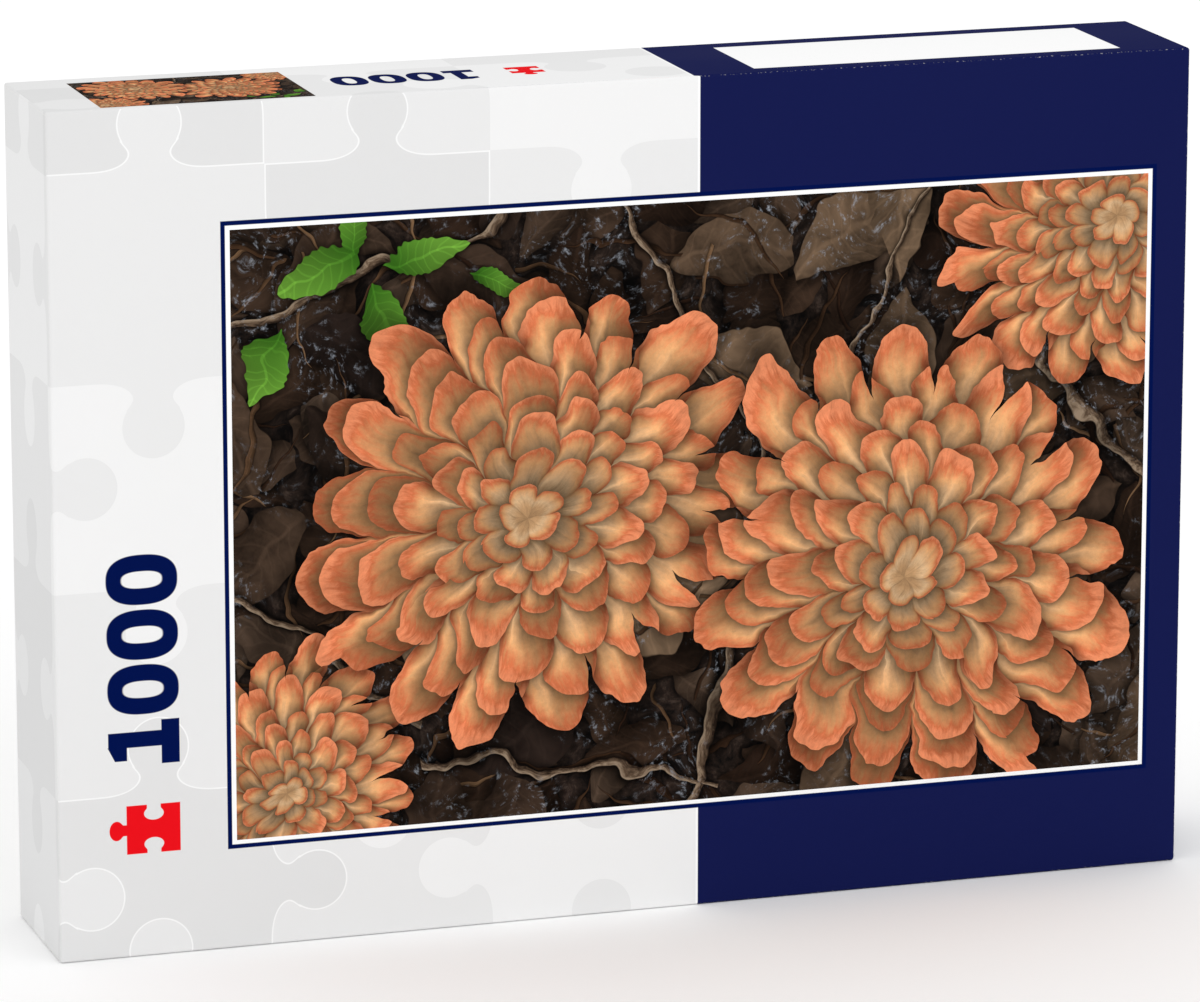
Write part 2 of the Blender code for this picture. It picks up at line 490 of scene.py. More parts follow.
# On the left and the upper side the pattern is squeezed, and the left side's halves mirror each other.
LEFT_SQUEEZE, LEFT_MIDDLE = 0.70, -39.95
UPPER_SQUEEZE = 0.86
pattern_x = low_of(x, x / LEFT_SQUEEZE)
pattern_x = high_of(pattern_x, 2 * LEFT_MIDDLE - pattern_x)
pattern_y = low_of(y, y / UPPER_SQUEEZE)
column_place = (pattern_x - COLUMN_START) / COLUMN
row_place = (pattern_y - ROW_START) / ROW
column = column_place.math("FLOOR")
row = row_place.math("FLOOR")
edge_column = high_of(column_place.math("ROUND"), 0.0)
edge_row = high_of(row_place.math("ROUND"), 0.0)
way = looked_up(edge_column + 4 * (row + 1), listed(KNOB_RIGHT)) * 2 - 1
to_column = outside_knob((column_place - edge_column) * COLUMN * way, (row_place - row - 0.5) * ROW)
own_column = edge_column - 0.5 + 0.5 * way * to_column.math("SIGN")
way = looked_up(high_of(column, -1.0) + 1 + 4 * edge_row, listed(KNOB_DOWN)) * 2 - 1
to_row = outside_knob((row_place - edge_row) * ROW * way, (column_place - column - 0.5) * COLUMN)
own_row = edge_row - 0.5 + 0.5 * way * to_row.math("SIGN")
tone = looked_up((own_column + 1).math("MODULO", 4.0) + 4 * (own_row + 1), listed(TONES))
near_edge = low_of(abs(to_column), abs(to_row))

# The dark pieces on the face have a thin pale outline.
OUTLINE_START, OUTLINE_FULL, OUTLINE_TONE = 0.58, 0.32, 0.86
on_face = low_of(x, y) > 0
outline = between(near_edge, OUTLINE_START, OUTLINE_FULL) * (tone < (DARK + MIDDLE) / 2) * on_face
pattern = graded(tone + outline * (OUTLINE_TONE - tone), (0.0, (0.0, 0.0, 0.0)), (1.0, (1.0, 1.0, 1.0)))

# The navy panel starts at the split, after a white line, and a little further left on the upper side.
NAVY = (0.0065, 0.0095, 0.066, 1.0)
FRAME_NAVY = (0.0001, 0.005, 0.064, 1.0)
RED = (0.76, 0.005, 0.01, 1.0)
WHITE = (0.895, 0.895, 0.895, 1.0)
SPLIT, UPPER_SHIFT, WHITE_LINE = 210.0, 2, 0.75
on_upper_side = between(y, 0.0, -0.5)
split = SPLIT - UPPER_SHIFT * on_upper_side
paper_colour = painted(between(x - split, -WHITE_LINE - 0.15, -WHITE_LINE + 0.15), pattern, WHITE)
paper_colour = painted(between(x - split, -0.1, 0.1), paper_colour, NAVY)

# The frame's outside and its white inside, and the bare panel: left, top, right and bottom
FRAME_OUTSIDE = (54.55, 37.05, 364.25, 237.6)
FRAME_INSIDE = (56.0, 38.5, 362.8, 236.2)
BARE_PANEL = (230.0, -46.5, 353.5, -6.5)
SOFT = 0.12


def in_box(x, y, left, top, right, bottom):
    """A mask with soft edges: 1 in a box and 0 outside it."""
    out_x = abs(x - (left + right) / 2) - (right - left) / 2
    out_y = abs(y - (top + bottom) / 2) - (bottom - top) / 2
    return between(high_of(out_x, out_y), SOFT, -SOFT)


paper_colour = painted(in_box(x, y, *FRAME_OUTSIDE), paper_colour, FRAME_NAVY)
paper_colour = painted(in_box(x, y, *FRAME_INSIDE), paper_colour, WHITE)
paper_colour = painted(in_box(x, y, *BARE_PANEL), paper_colour, WHITE)

# The numerals and the jigsaw piece are drawn once, along and up, in millimetres at their size on the face.
# There they read upwards, and on the upper side they are smaller and upside down.
MARKS_START, MARKS_FOOT = 207.8, 39.4
SMALL_MARKS, SMALL_START, SMALL_RISE = 0.70, 144.5, 32.0
along = (MARKS_START - y) + on_upper_side * ((SMALL_START - x) / SMALL_MARKS - (MARKS_START - y))
above = (MARKS_FOOT - x) + on_upper_side * ((y + SMALL_RISE) / SMALL_MARKS - (MARKS_FOOT - x))


def oval(along, above, half_along, half_above, power):
    """How far outside an oval with squarish ends a point is, about."""
    ratio = (abs(along) / half_along) ** power + (abs(above) / half_above) ** power
    return (ratio ** (1 / power) - 1) * half_along


# Three zeros, each an oval with an oval hole: the half width, the half height and the power. The one has a
# foot, a stem and a flag with a sloping top.
TALL = 22.9
ZEROS_START, ZERO_STEP = 24.3, 17.55
ZERO_OUTSIDE = (8.0, TALL / 2, 2.5)
ZERO_HOLE = (2.7, 6.5, 2.6)
ONE_FOOT = (0.0, 0.0, 14.2, 5.8)
ONE_STEM = (5.8, 0.0, 10.8, TALL)
ONE_FLAG = (1.6, 16.9, 6.2, 23.2)
zero_place = ((along - ZEROS_START) / ZERO_STEP).math("ROUND")
zero_place = low_of(high_of(zero_place, 0.0), 2.0)
zero_along = along - ZEROS_START - ZERO_STEP * zero_place
ring = high_of(
    oval(zero_along, above - TALL / 2, *ZERO_OUTSIDE),
    -oval(zero_along, above - TALL / 2, *ZERO_HOLE),
)
numerals = between(ring, 0.15, -0.15)
numerals = high_of(numerals, in_box(along, above, *ONE_FOOT))
numerals = high_of(numerals, in_box(along, above, *ONE_STEM))
flag_top = TALL - 0.5 * (ONE_STEM[0] - along)
flag = in_box(along, above, *ONE_FLAG) * between(above - flag_top, SOFT, -SOFT)
numerals = high_of(numerals, flag)
paper_colour = painted(numerals, paper_colour, FRAME_NAVY)

# The jigsaw piece is a box with a hole in each end and a peg on top, each round with a neck. On the upper
# side it stands a little further off and is lower.
SYMBOL_PLACE, SYMBOL_SHIFT, SYMBOL_LOWER = 20.85, 2.2, 0.14
SYMBOL_BOX = (-7.85, 0.1, 7.85, 17.4)
ROUND, NECK, JOIN = 3.15, 2.2, 0.8
HOLE_ALONG, HOLE_ABOVE, HOLE_NARROW = 4.95, 8.6, 1.5
PEG_ABOVE, PEG_FLAT, PEG_NECK, PEG_NECK_HALF = 20.6, 1.35, 18.4, 1.75
side = along + SYMBOL_PLACE + SYMBOL_SHIFT * on_upper_side
rise = above * (1 + SYMBOL_LOWER * on_upper_side)
symbol = in_box(side, rise, *SYMBOL_BOX)
hole = length_of((abs(side) - HOLE_ALONG) * HOLE_NARROW, rise - HOLE_ABOVE) - ROUND
hole_neck = high_of(abs(rise - HOLE_ABOVE) - NECK, HOLE_ALONG - abs(side))
hole = hole.math("SMOOTH_MIN", hole_neck, JOIN)
symbol = symbol * between(hole, -SOFT, SOFT)
peg = length_of(side, (rise - PEG_ABOVE) * PEG_FLAT) - ROUND
peg_neck = high_of(abs(side) - PEG_NECK_HALF, abs(rise - PEG_NECK) - NECK)
peg = peg.math("SMOOTH_MIN", peg_neck, JOIN)
symbol = high_of(symbol, between(peg, SOFT, -SOFT))
paper_colour = painted(symbol, paper_colour, RED)

# Wear and painted highlight: along the folds the ink has cracked off in specks down to white fibres, and
# these pale specks also stand in for the light line along each fold, as a painted highlight. The side
# flaps' cut edges show white too, a millimetre from the corners.
CUT_PLACE = 0.9
BARE_FIBRES_AND_HIGHLIGHT = (0.80, 0.79, 0.77, 1.0)
fine = grain(place, 900.0, 2.0, 0.6)
to_fold = low_of(
    low_of(abs(x), abs(FACE_WIDE - x)),
    low_of(abs(y), abs(FACE_HIGH - y)),
)
fold_wear_and_highlight = between(fine - 0.35 * to_fold, 0.50, 0.62) * between(to_fold, 0.9, 0.2)
past_side = high_of(0 - x, x - FACE_WIDE)
to_cut = low_of(abs(y - CUT_PLACE), abs(y - (FACE_HIGH - CUT_PLACE)))
cut_edge = between(to_cut, 0.16, 0.06) * between(past_side, 0.3, 0.5)
# Pale specks along the folds are wear and a painted highlight; the cut edges are bare white paper.
paper_colour = painted(high_of(fold_wear_and_highlight * 0.32, cut_edge * 0.7), paper_colour, BARE_FIBRES_AND_HIGHLIGHT)
feed(shader, "Base Color", paper_colour)


def varnish(shader):
    """What is the same all over the satin varnish on the print."""
    shader.inputs["Specular IOR Level"].default_value = 0.0
    shader.inputs["Coat Roughness"].default_value = 0.22


cloudy = grain(place, 14.0, 3.0, 0.55)
feed(shader, "Roughness", 0.36 + 0.10 * cloudy + 0.18 * fold_wear_and_highlight)
feed(shader, "Coat Weight", 0.02 + 0.02 * cloudy)
varnish(shader)
relief = 0.35 * fine + 2.2 * cloudy - 0.8 * cut_edge
feed_bump(shader, relief, 0.18, 0.0002)

# Bare paper: the print's white back and its cut edges.
paper_back, shader, start = new_material("paper_back")
place = start.node("ShaderNodeTexCoord", out="Object")
fibres = grain(place, 1400.0, 4.0, 0.7)
feed(shader, "Base Color", graded(fibres, (0.3, (0.70, 0.69, 0.66)), (0.7, (0.82, 0.81, 0.79))))
feed(shader, "Roughness", 0.75 + 0.15 * fibres)
feed_bump(shader, fibres, 0.25, 0.00005)

# The picture in the frame, and again, small, on the upper side: blossoms in peach and orange on wet leaf
# litter, with twigs and a spray of green leaves. It is flat ink, as the rest of the print is. Places are in
# tenths of a metre from its lower left corner.
pictured, shader, start = new_material("printed_picture")
place = start.node("ShaderNodeUVMap", {"uv_map": "picture"})
# A distance past all others, and the setting of a noise over a plane
FAR = 9.0
FLAT = {"noise_dimensions": "2D"}


def moved(place, shift):
    return place.node("ShaderNodeVectorMath", {"operation": "ADD"}, {0: place, 1: shift})


def shaded(colour, light):
    """A colour times a number."""
    return light.node("ShaderNodeVectorMath", {"operation": "SCALE"}, {0: colour, "Scale": light})


def wavy(place, scale, size, shift):
    """A place moved about at random by up to half the size."""
    colour = grain(moved(place, shift), scale, 2.0, 0.5, FLAT, out="Color")
    middle = moved(colour, (-0.5, -0.5, -0.5))
    return place.node(
        "ShaderNodeVectorMath", {"operation": "MULTIPLY_ADD"}, {0: middle, 1: (size, size, 0.0), 2: place}
    )


def local(place, spot, turn, half_along, half_across):
    """A place as seen from a spot, turned in degrees, and with 1 at the half sizes."""
    return place.node(
        "ShaderNodeMapping",
        {"vector_type": "TEXTURE"},
        {
            "Vector": place,
            "Location": (*spot, 0.0),
            "Rotation": (0.0, 0.0, math.radians(turn)),
            "Scale": (half_along, half_across, 1.0),
        },
    )


def parts_of(vector):
    return vector.node("ShaderNodeSeparateXYZ", {}, {0: vector}, out=(0, 1, 2))


def chosen(mask, under, over):
    """One of two vectors, by a mask that is 0 or 1."""
    return mask.node("ShaderNodeMix", {"data_type": "VECTOR"}, {0: mask, 4: under, 5: over}, out=1)


def litter(place, under, cells, shift, half_along, half_across, stops, bend):
    """A layer of fallen leaves over a colour: one in each cell of a scattered pattern, turned at random."""
    place = moved(place, shift)
    chance, centre = place.node(
        "ShaderNodeTexVoronoi", {"voronoi_dimensions": "2D"}, {"Vector": place, "Scale": cells}, out=(1, 2)
    )
    turn, tone = place.node("ShaderNodeSeparateColor", {}, {0: chance}, out=(0, 1))
    near = place.node(
        "ShaderNodeVectorRotate",
        {"rotation_type": "Z_AXIS"},
        {"Vector": place, "Center": centre, "Angle": turn * (2 * math.pi)},
    )
    near = place.node("ShaderNodeVectorMath", {"operation": "SUBTRACT"}, {0: near, 1: centre})
    mottled = grain(near, 8.0, 4.0, 0.65, FLAT)
    size = (half_along, half_across, 1.0)
    near = place.node("ShaderNodeVectorMath", {"operation": "DIVIDE"}, {0: near, 1: size})
    along, across, _ = parts_of(near)
    bowed = along * along
    across = bowed.math("MULTIPLY_ADD", bend, across)
    aside = abs(across)
    outside = aside + bowed - 1
    veins = (along * 4.5 - aside * 1.2).math("PINGPONG", 0.5)
    light = mottled.math("MULTIPLY_ADD", 1.2, -0.12) + 0.26 * across + 0.22 * between(aside, 0.12, 0.02)
    light = light + between(veins, 0.12, 0.02) * 0.10
    colour = shaded(graded(tone, *stops), light * between(outside, 0.9, -0.4))
    under = shaded(under, between(outside, -0.4, 0.6))
    return painted(between(outside, 0.02, -0.02), under, colour)


ground = wavy(place, 5.0, 0.12, (3.1, 7.7, 0.0))
soil = graded(
    grain(ground, 16.0, 5.0, 0.72, FLAT),
    (0.35, (0.0040, 0.0032, 0.0030)),
    (0.55, (0.020, 0.013, 0.010)),
    (0.75, (0.065, 0.044, 0.034)),
)
BROWNS = (
    (0.0, (0.021, 0.011, 0.007)),
    (0.5, (0.051, 0.029, 0.018)),
    (1.0, (0.108, 0.070, 0.047)),
)
TANS = (
    (0.0, (0.020, 0.013, 0.011)),
    (0.5, (0.062, 0.037, 0.024)),
    (1.0, (0.310, 0.200, 0.120)),
)
STALKS = (
    (0.0, (0.030, 0.014, 0.008)),
    (0.6, (0.095, 0.048, 0.024)),
    (1.0, (0.290, 0.165, 0.085)),
)
scenery = litter(ground, soil, 4.4, (5.3, 3.7, 0.0), 0.15, 0.065, BROWNS, 0.35)
scenery = litter(ground, scenery, 3.2, (12.9, 9.0, 0.0), 0.19, 0.085, BROWNS, -0.30)
scenery = litter(ground, scenery, 4.1, (31.7, 22.3, 0.0), 0.16, 0.0070, STALKS, 3.0)
scenery = litter(ground, scenery, 2.3, (21.4, 15.0, 0.0), 0.25, 0.115, TANS, 0.20)
scenery = litter(ground, scenery, 3.0, (44.2, 37.6, 0.0), 0.22, 0.0085, STALKS, -4.0)

# Twigs: the middle of each, its turn in degrees, its half length and its half width. A point takes the
# coordinates of the twig it is nearest to.
TWIGS = (
    ((0.44, 1.80), 18, 0.58, 0.015),
    ((1.64, 0.48), 73, 0.60, 0.018),
    ((0.30, 0.55), 142, 0.42, 0.013),
    ((1.50, 1.55), 118, 0.52, 0.011),
    ((2.82, 1.20), 134, 0.40, 0.020),
    ((2.12, 1.62), 60, 0.46, 0.009),
    ((1.10, 0.14), 172, 0.50, 0.012),
)
twig_place = wavy(ground, 2.2, 0.16, (8.3, 1.9, 0.0))
x, y, _ = parts_of(place)
nearest = 0.0 * x + FAR
twig = place
for spot, turn, half_along, half_across in TWIGS:
    seen = local(twig_place, spot, turn, half_along, half_across)
    along, across, _ = parts_of(seen)
    apart = (abs(along) > 1.0).math("MULTIPLY_ADD", FAR, abs(across))
    twig = chosen(apart < nearest, twig, seen)
    nearest = low_of(apart, nearest)
along, across, _ = parts_of(twig)
scenery = shaded(scenery, between(nearest, 0.2, 3.2))
bark_place = place.node("ShaderNodeVectorMath", {"operation": "MULTIPLY"}, {0: twig, 1: (7.0, 0.6, 0.0)})
bark = grain(bark_place, 3.0, 3.0, 0.6, FLAT)
stick = graded(
    across.math("MULTIPLY_ADD", 0.35, bark),
    (0.2, (0.020, 0.012, 0.008)),
    (0.5, (0.100, 0.064, 0.040)),
    (0.8, (0.260, 0.190, 0.130)),
)
scenery = painted(between(nearest, 1.0, 0.8), scenery, stick)

# Glints on the wet leaves
glint = between(grain(ground, 34.0, 5.0, 0.72, FLAT), 0.54, 0.84)
glint = glint * between(grain(place, 3.6, 2.0, 0.6, FLAT), 0.44, 0.60)
scenery = painted(glint * 0.85, scenery, (0.36, 0.39, 0.44, 1.0))

# The spray of green leaves: the middle of each, its turn in degrees and its half length.
GREEN_LEAVES = (
    ((0.28, 1.80), 205, 0.145),
    ((0.11, 1.52), 250, 0.120),
    ((0.50, 1.63), 300, 0.120),
    ((0.62, 1.83), 15, 0.150),
    ((0.40, 1.93), 85, 0.095),
    ((0.86, 1.72), 335, 0.100),
)
nearest = 0.0 * x + FAR
leaf = place
for spot, turn, half_along in GREEN_LEAVES:
    seen = local(ground, spot, turn, half_along, half_along * 0.5)
    along, across, _ = parts_of(seen)
    outside = along.math("MULTIPLY_ADD", along, abs(across))
    leaf = chosen(outside < nearest, leaf, seen)
    nearest = low_of(outside, nearest)
along, across, _ = parts_of(leaf)
teeth = nearest + 0.04 * (along * 26).math("SINE")
aside = abs(across)
veins = between((along * 4 - aside * 1.3).math("PINGPONG", 0.5), 0.14, 0.03)
light = 0.80 + 0.22 * across + 0.20 * veins + 0.35 * between(aside, 0.09, 0.03) + 0.30 * glint
green = graded(along * 0.5 + 0.5, (0.1, (0.035, 0.130, 0.010)), (0.9, (0.130, 0.310, 0.035)))
scenery = shaded(scenery, between(nearest, 0.6, 1.5))
scenery = painted(between(teeth, 1.01, 0.97), scenery, shaded(green, light))

# The blossoms, from the furthest to the nearest: centre, turn in degrees, and the two half sizes. Each is a
# rosette of rings of petals, drawn from the outer ring to the inner one: a ring's size and its petals.
BLOSSOMS = (
    ((2.90, 1.80), 15, 0.58, 0.53),
    ((0.14, 0.14), 65, 0.50, 0.46),
    ((0.97, 1.00), 35, 0.78, 0.73),
    ((2.24, 0.72), 120, 0.82, 0.74),
)
RINGS = (
    (1.00, 17),
    (0.86, 16),
    (0.72, 15),
    (0.59, 14),
    (0.47, 12),
    (0.36, 11),
    (0.25, 8),
    (0.14, 5),
)


def petal_ring(radius, angle, ring):
    """How far outside a ring of petals a point is, its place along and across its petal, and that petal's
    random number."""
    size, count = RINGS[ring]
    around = angle.math("MULTIPLY_ADD", count / (2 * math.pi), 50 + 0.37 * ring)
    number = around.math("FLOOR") + 61 * ring
    chance = around.node("ShaderNodeTexWhiteNoise", {"noise_dimensions": "1D"}, {"W": number})
    side = around.math("FRACT").math("MULTIPLY_ADD", 2.0, -1.0)
    reach = (abs(side) ** 2.6).math("MULTIPLY_ADD", -0.26 * size, 0.935 * size)
    reach = chance.math("MULTIPLY_ADD", 0.13 * size, reach)
    return radius - reach, radius / reach, side, chance


def joined(x, y, z):
    return x.node("ShaderNodeCombineXYZ", {}, {0: x, 1: y, 2: z})


def radius_of(vector):
    return vector.node("ShaderNodeVectorMath", {"operation": "LENGTH"}, {0: vector}, out="Value")


petal_place = wavy(wavy(place, 2.4, 0.15, (6.1, 2.2, 0.0)), 9.0, 0.05, (1.7, 4.9, 0.0))
own = joined(0.0 * x + FAR, 0.0 * x, 0.0 * x)
shelter = 0.0 * x + FAR
for spot, turn, half_along, half_across in BLOSSOMS:
    seen = local(petal_place, spot, turn, half_along, half_across)
    along, across, _ = parts_of(seen)
    outside, _, _, _ = petal_ring(radius_of(seen), across.math("ARCTAN2", along), 0)
    inside = outside < 0
    own = chosen(inside, own, seen)
    shelter = inside.math("MULTIPLY_ADD", FAR, low_of(shelter, outside * half_along))

along, across, _ = parts_of(own)
radius = radius_of(own)
angle = across.math("ARCTAN2", along)
outside, part, side, chance = petal_ring(radius, angle, 0)
petal = joined(part, side, chance)
overlap = 0.0 * x + FAR
for ring in range(1, len(RINGS)):
    outside, part, side, chance = petal_ring(radius, angle, ring)
    inside = outside < 0
    petal = chosen(inside, petal, joined(part, side, chance))
    overlap = inside.math("MULTIPLY_ADD", FAR, low_of(overlap, outside))

part, side, chance = parts_of(petal)
streaks = grain(joined(side * 8 + 99 * chance, part * 4, radius * 7), 1.0, 6.0, 0.72)
pores = grain(place, 38.0, 4.0, 0.75, FLAT)
lamp = (along * 0.8 + across * 0.6) * side / (radius + 0.05)
light = streaks.math("MULTIPLY_ADD", 0.95, 0.34) + 0.24 * lamp + 0.56 * pores
light = light - 0.22 * abs(side) ** 5 - 0.14 * between(abs(side), 0.16, 0.0)
light = light * between(overlap, -0.07, 0.16) * chance.math("MULTIPLY_ADD", 0.28, 0.84)
light = light * between(radius, -0.35, 0.35)
petal_colour = graded(
    0.24 * streaks + 0.1 * chance + part - 0.17,
    (0.38, (0.650, 0.380, 0.185)),
    (0.64, (0.770, 0.500, 0.275)),
    (0.84, (0.690, 0.350, 0.150)),
    (0.95, (0.500, 0.130, 0.052)),
    (1.00, (0.580, 0.190, 0.088)),
)
scenery = painted(radius < 2, scenery, shaded(petal_colour, light))
scenery = shaded(scenery, between(shelter, -0.10, 0.16))
feed(shader, "Base Color", scenery)
feed(shader, "Roughness", 0.36 + 0.12 * streaks)
feed(shader, "Coat Weight", 0.02 + 0.02 * streaks)
varnish(shader)

for slot, material in enumerate((printed, pictured, paper_back)):
    lid_wrap.data.materials[slot] = material
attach(lid_wrap, "root")
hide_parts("lid_wrap")


# The tray's wrap: plain white paper, uncoated, glued over the tray's board in the same way as the lid's.
# Only its bottom and a narrow band past the lid's rim show on the closed box.
tray_low, tray_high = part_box("tray_wrap")
tray_wrap = fold_sheet("tray_wrap_plain", tray_low, tray_high, tray_high.y, tray_low.y)
round_folds(tray_wrap)
lay_flat(tray_wrap, tray_low, tray_high, tray_high.y, tray_low.y)
apply_modifier(tray_wrap, "SOLIDIFY", thickness=PAPER, offset=-1.0, use_even_offset=True)
bpy.ops.object.shade_smooth_by_angle(angle=SMOOTH_UNDER)

plain, shader, start = new_material("plain_tray_paper")
place = start.node("ShaderNodeUVMap", {"uv_map": "sheet"})
fibres = grain(place, 1100.0, 4.0, 0.65)
mottled = grain(place, 45.0, 4.0, 0.6)
rubbed = between(grain(place, 9.0, 5.0, 0.7), 0.52, 0.72)
tint = graded(0.6 * fibres + 0.4 * mottled, (0.3, (0.74, 0.73, 0.70)), (0.7, (0.84, 0.83, 0.805)))
tint = painted(rubbed * fibres * 0.35, tint, (0.58, 0.56, 0.53, 1.0))
feed(shader, "Base Color", tint)
feed(shader, "Roughness", 0.62 + 0.2 * fibres)
shader.inputs["Specular IOR Level"].default_value = 0.35
feed_bump(shader, 0.3 * fibres + 1.5 * mottled, 0.25, 0.0002)
tray_wrap.data.materials.append(plain)
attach(tray_wrap, "root")
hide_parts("tray_wrap")


# The two board blanks: grey board pressed from waste paper, cut half through at the scores and folded up.
# The CAD panels have the right shape, so they only get the look of the board, with its fibres and specks.
greyboard, shader, start = new_material("greyboard")
place = start.node("ShaderNodeTexCoord", out="Object")
fibres = grain(place, 700.0, 5.0, 0.75)
specks = between(grain(place, 260.0, 2.0, 0.5), 0.66, 0.72)
tint = graded(fibres, (0.3, (0.30, 0.27, 0.23)), (0.7, (0.47, 0.43, 0.37)))
tint = painted(specks * 0.6, tint, (0.16, 0.14, 0.13, 1.0))
feed(shader, "Base Color", tint)
feed(shader, "Roughness", 0.84 + 0.12 * fibres)
feed_bump(shader, fibres, 0.4, 0.0001)

# The corner stays: gummed kraft tape with long fibres and a slight shine, wetted and folded round each
# corner of the two boards, under the wraps, to hold their sides together. They are CAD nodes too.
kraft, shader, start = new_material("kraft_tape")
place = start.node("ShaderNodeTexCoord", out="Object")
stretched = place.node("ShaderNodeMapping", {}, {"Vector": place, "Scale": (1.0, 0.12, 1.0)})
fibres = grain(stretched, 1600.0, 4.0, 0.7)
feed(shader, "Base Color", graded(fibres, (0.3, (0.36, 0.25, 0.14)), (0.7, (0.56, 0.42, 0.27))))
feed(shader, "Roughness", 0.55 + 0.2 * fibres)
feed_bump(shader, fibres, 0.3, 0.00005)

for name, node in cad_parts.items():
    finish = {"board": greyboard, "corner": kraft}.get(name.split("_")[1])
    if finish:
        node.data.materials.clear()
        node.data.materials.append(finish)


# The 1000 loose pieces: the picture glued on grey board and cut by a die, 40 pieces along and 25 up. They
# stand in wobbly stacks in the bag, with the print to the front or the back. A knob points into the gap
# between two stacks from one of them only, so that no two meet.
PIECE_WIDE, PIECE_HIGH, PIECE_THICK = 0.0170, 0.0192, 0.00175
ALONG, UP = 40, 25
KNOB_REACH, KNOB_RADIUS, KNOB_ARC = 0.0030, 0.00235, (215, 155, 90, 25, -35)
ROUNDED_UNDER = math.radians(50)
KNOB_FOOT, KNOB_NECK = 0.00015, 0.7
KNOB_ROOM = 0.00545
STACK_ROWS = (3, 3, 4, 4, 4, 4, 4, 4, 4, 4, 4, 3, 3)
STACK_FRONT, STACK_BACK, STACK_FOOT = -0.0219, 0.0222, 0.0100 + 0.57 * PIECE_WIDE
LEAN, SPIN, JITTER = 0.1, 0.09, 0.04
END_DROP = 0.022
SQUARENESS = 24

bag_low, bag_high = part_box("piece_bag")
chance = random.Random(11)


def bag_form(along, across, up, low, high):
    """A point of the bag, flat below and lower at its ends, from its place in a cube from -1 to 1."""
    spread = abs(along) ** SQUARENESS + abs(across) ** SQUARENESS + abs(up) ** SQUARENESS
    shrink = min(spread ** (-1 / SQUARENESS), 1.0)
    along, across, up = along * shrink, across * shrink, up * shrink
    tall = high[2] - low[2] - END_DROP * along * along
    x = (low[0] + high[0]) / 2 + along * (high[0] - low[0]) / 2
    y = (low[1] + high[1]) / 2 + across * (high[1] - low[1]) / 2
    return Vector((x, y, low[2] + (up + 1) / 2 * tall))


def jigsaw_outline(sides):
    """Points round a piece, from its lower left corner. A side has a knob (1), a hole (-1) or none (0)."""
    half_x, half_y = PIECE_HIGH / 2, PIECE_WIDE / 2
    corners = [Vector((x * half_x, y * half_y)) for x, y in ((-1, -1), (1, -1), (1, 1), (-1, 1))]
    points = []
    for number, way in enumerate(sides):
        start, end = corners[number], corners[(number + 1) % 4]
        points.append(start)
        if way:
            middle = (start + end) / 2
            ahead = (end - start).normalized()
            out = Vector((ahead.y, -ahead.x)) * way
            knob = [(-KNOB_NECK * KNOB_RADIUS, KNOB_FOOT)]
            for angle in KNOB_ARC:
                turn = math.radians(angle)
                knob.append((KNOB_RADIUS * math.cos(turn), KNOB_REACH + KNOB_RADIUS * math.sin(turn)))
            knob.append((KNOB_NECK * KNOB_RADIUS, KNOB_FOOT))
            points += [middle + ahead * side + out * reach for side, reach in knob]
    return points


def cut_piece(sides):
    """One loose piece, flat about the origin: a disc with its rim moved to the outline, and made thick."""
    points = jigsaw_outline(sides)
    bpy.ops.object.select_all(action="DESELECT")
    bpy.ops.mesh.primitive_circle_add(vertices=len(points), radius=0.01, fill_type="NGON")
    piece = bpy.context.object
    for vertex, point in zip(piece.data.vertices, points):
        vertex.co = (point.x, point.y, -PIECE_THICK / 2)
    bpy.ops.object.mode_set(mode="EDIT")
    bpy.ops.mesh.select_all(action="SELECT")
    bpy.ops.mesh.extrude_region()
    bpy.ops.transform.translate(value=(0.0, 0.0, PIECE_THICK))
    bpy.ops.mesh.select_all(action="SELECT")
    bpy.ops.mesh.normals_make_consistent(inside=False)
    bpy.ops.object.mode_set(mode="OBJECT")
    bpy.ops.object.shade_smooth_by_angle(angle=ROUNDED_UNDER)
    for layer in list(piece.data.uv_layers):
        piece.data.uv_layers.remove(layer)
    piece.data.uv_layers.new(name="picture")
    for material in (greyboard, pictured):
        piece.data.materials.append(material)
    return piece


def print_piece(piece, cell, face_way, turn):
    """Gives a loose piece its own part of the picture, on its upper (1) or lower (-1) face."""
    mesh = piece.data
    scale = 10 * (PICTURE[3] - PICTURE[1]) / (UP * PIECE_HIGH)
    margin = (10 * (PICTURE[2] - PICTURE[0]) - ALONG * PIECE_WIDE * scale) / 2
    place = mesh.uv_layers["picture"]
    for face in mesh.polygons:
        face.material_index = 1 if face.normal.z * face_way > 0.9 else 0
        for corner in face.loop_indices:
            point = mesh.vertices[mesh.loops[corner].vertex_index].co
            right = (cell[0] + 0.5) * PIECE_WIDE + turn * face_way * point.y
            above = (cell[1] + 0.5) * PIECE_HIGH - turn * point.x
            place.data[corner].uv = (margin + right * scale, above * scale)


